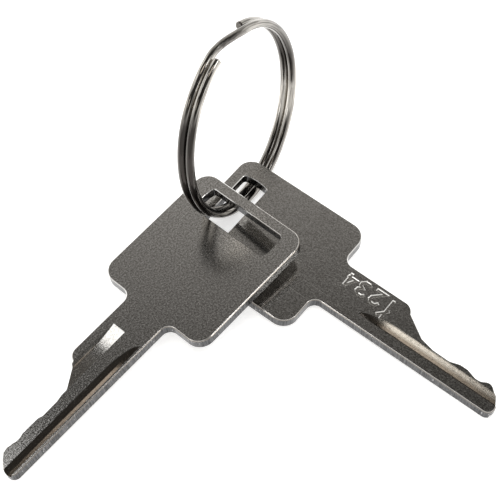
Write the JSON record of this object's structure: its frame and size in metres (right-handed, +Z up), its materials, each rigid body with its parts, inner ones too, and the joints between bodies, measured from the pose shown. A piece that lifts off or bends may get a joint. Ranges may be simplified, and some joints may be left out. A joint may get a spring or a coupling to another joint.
{
  "type": "cabinet keys on a split ring",
  "caption": "Flat nickel-plated cabinet lock keys with square bows, cut blades and milled grooves, hanging on a round steel split ring.",
  "frame": {"origin": "on the table, at the middle of the whole set's box seen from above", "axes": "+Z up; +X to the right and +Y away from someone who faces the set, with both blades pointing towards them"},
  "size_m": [0.0771, 0.073, 0.0335],
  "materials": {
    "key_nickel": "tumbled nickel plate, fine speckle, bright worn edges",
    "ring_steel": "polished nickel-plated spring wire"
  },
  "bodies": {
    "ring": {"split_ring": "ring_steel"},
    "left": {"left_key": "key_nickel"},
    "right": {"right_key": "key_nickel"}
  },
  "joints": [
    {"name": "left_key_swing", "type": "hinge", "parent": "ring", "child": "left", "pos_m": [-0.00561, 0.01047, 0.00619], "axis": [0, 0, 1], "range_deg": [-45, 45]},
    {"name": "right_key_swing", "type": "hinge", "parent": "ring", "child": "right", "pos_m": [-0.00178, 0.01355, 0.00287], "axis": [0, 0, 1], "range_deg": [-18, 6]}
  ]
}
